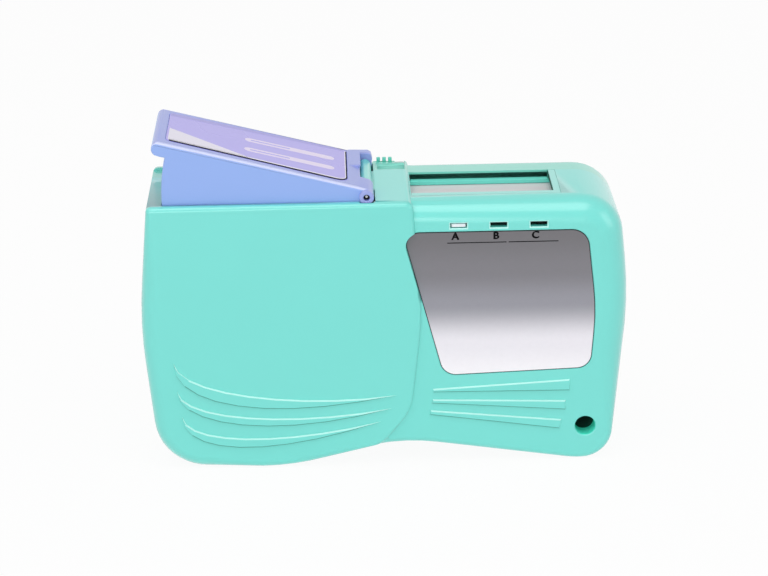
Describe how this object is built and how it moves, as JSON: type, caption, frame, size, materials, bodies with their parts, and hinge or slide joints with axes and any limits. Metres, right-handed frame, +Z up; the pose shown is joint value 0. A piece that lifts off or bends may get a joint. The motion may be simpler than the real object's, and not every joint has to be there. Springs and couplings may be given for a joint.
{
  "type": "fibre optic cleaning cassette",
  "caption": "Hand-held reel cleaner for optical connectors: a thumb lever opens a shutter over wiping slots and winds on the cleaning tape.",
  "frame": {"origin": "bottom centre of the bounding box, on the surface the case stands on", "axes": "+X along the case towards the strap hole, +Y towards the removable rear cover, +Z up"},
  "size_m": [0.1175, 0.032, 0.0842],
  "materials": {
    "case_green": "satin",
    "latch_green": "satin",
    "trim_green": "satin",
    "guide_green": "satin",
    "plate_silver": "satin",
    "lever_blue": "satin",
    "label_lavender": "semi_gloss",
    "white_plastic": "satin",
    "shutter_grey": "satin",
    "reel_grey": "satin",
    "steel": "brushed",
    "spring_steel": "brushed",
    "chassis_steel": "brushed",
    "pad_rubber": "matte",
    "tape_white": "matte"
  },
  "bodies": {
    "case": {"front_case": "case_green", "nameplate": "plate_silver", "window_bezel": "trim_green", "type_tab": "white_plastic", "slot_guide": "guide_green", "lever_pin": "steel", "lever_spring": "spring_steel", "chassis_plate": "chassis_steel", "chassis_screws": "steel", "drive_gear_axle": "steel", "idler_axle": "steel", "check_pawl": "spring_steel", "shaft_bush": "white_plastic", "supply_axle": "steel", "supply_brake": "spring_steel", "roller_axles": "steel", "platen_holder": "reel_grey", "platen_pad": "pad_rubber", "cleaning_tape": "tape_white"},
    "cover": {"rear_cover": "case_green"},
    "latch": {"cover_latch": "latch_green"},
    "lever": {"lever": "lever_blue", "lever_label": "label_lavender"},
    "shutter": {"shutter": "shutter_grey"},
    "drive_gear": {"drive_gear": "white_plastic"},
    "idler": {"idler_gear": "white_plastic"},
    "takeup_drive": {"takeup_wheel": "white_plastic", "drive_pawl": "spring_steel"},
    "takeup": {"takeup_shaft": "steel", "ratchet_wheel": "steel", "takeup_reel": "reel_grey", "takeup_winding": "tape_white"},
    "supply": {"supply_reel": "reel_grey", "supply_winding": "tape_white"},
    "roller_left": {"guide_roller_left": "white_plastic"},
    "roller_right": {"guide_roller_right": "white_plastic"}
  },
  "joints": [
    {"name": "lever_press", "type": "hinge", "parent": "case", "child": "lever", "pos_m": [-0.0038, 0, 0.0696], "axis": [0, -1, 0], "range_deg": [0, 14.5], "stiffness_Nm_per_rad": 0.35, "springref_deg": -6.88, "deforming": ["lever_spring"]},
    {"name": "shutter_slide", "type": "slide", "parent": "case", "child": "shutter", "axis": [-1, 0, 0], "range_m": [0, 0.02953]},
    {"name": "drive_gear_spin", "type": "hinge", "parent": "case", "child": "drive_gear", "pos_m": [-0.01297, 0, 0.0496], "axis": [0, -1, 0], "range_deg": [0, 120.85]},
    {"name": "idler_spin", "type": "hinge", "parent": "case", "child": "idler", "pos_m": [0.00791, 0, 0.03452], "axis": [0, -1, 0], "range_deg": [-143.99, 0]},
    {"name": "takeup_wheel_spin", "type": "hinge", "parent": "case", "child": "takeup_drive", "pos_m": [0.03101, 0, 0.029], "axis": [0, -1, 0], "range_deg": [0, 140.99]},
    {"name": "takeup_spin", "type": "hinge", "parent": "case", "child": "takeup", "pos_m": [0.03101, 0, 0.029], "axis": [0, -1, 0], "continuous": true},
    {"name": "supply_spin", "type": "hinge", "parent": "case", "child": "supply", "pos_m": [-0.03299, 0, 0.02651], "axis": [0, -1, 0], "continuous": true},
    {"name": "roller_left_spin", "type": "hinge", "parent": "case", "child": "roller_left", "pos_m": [0.00515, 0, 0.0599], "axis": [0, -1, 0], "continuous": true},
    {"name": "roller_right_spin", "type": "hinge", "parent": "case", "child": "roller_right", "pos_m": [0.0467, 0, 0.0599], "axis": [0, -1, 0], "continuous": true},
    {"name": "cover_off", "type": "slide", "parent": "case", "child": "cover", "axis": [0, 1, 0], "range_m": [0, 0.03]},
    {"name": "latch_slide", "type": "slide", "parent": "cover", "child": "latch", "axis": [1, 0, 0], "range_m": [0, 0.002]}
  ],
  "couplings": [
    {"joint": "shutter_slide", "follows": "lever_press", "m_per_rad": 0.11667},
    {"joint": "drive_gear_spin", "follows": "lever_press", "ratio": 8.3333},
    {"joint": "idler_spin", "follows": "lever_press", "ratio": -9.9291},
    {"joint": "takeup_wheel_spin", "follows": "lever_press", "ratio": 9.7222},
    {"joint": "supply_spin", "follows": "takeup_spin", "ratio": -0.57143},
    {"joint": "roller_left_spin", "follows": "takeup_spin", "ratio": -4.5454},
    {"joint": "roller_right_spin", "follows": "takeup_spin", "ratio": -4.5454}
  ]
}
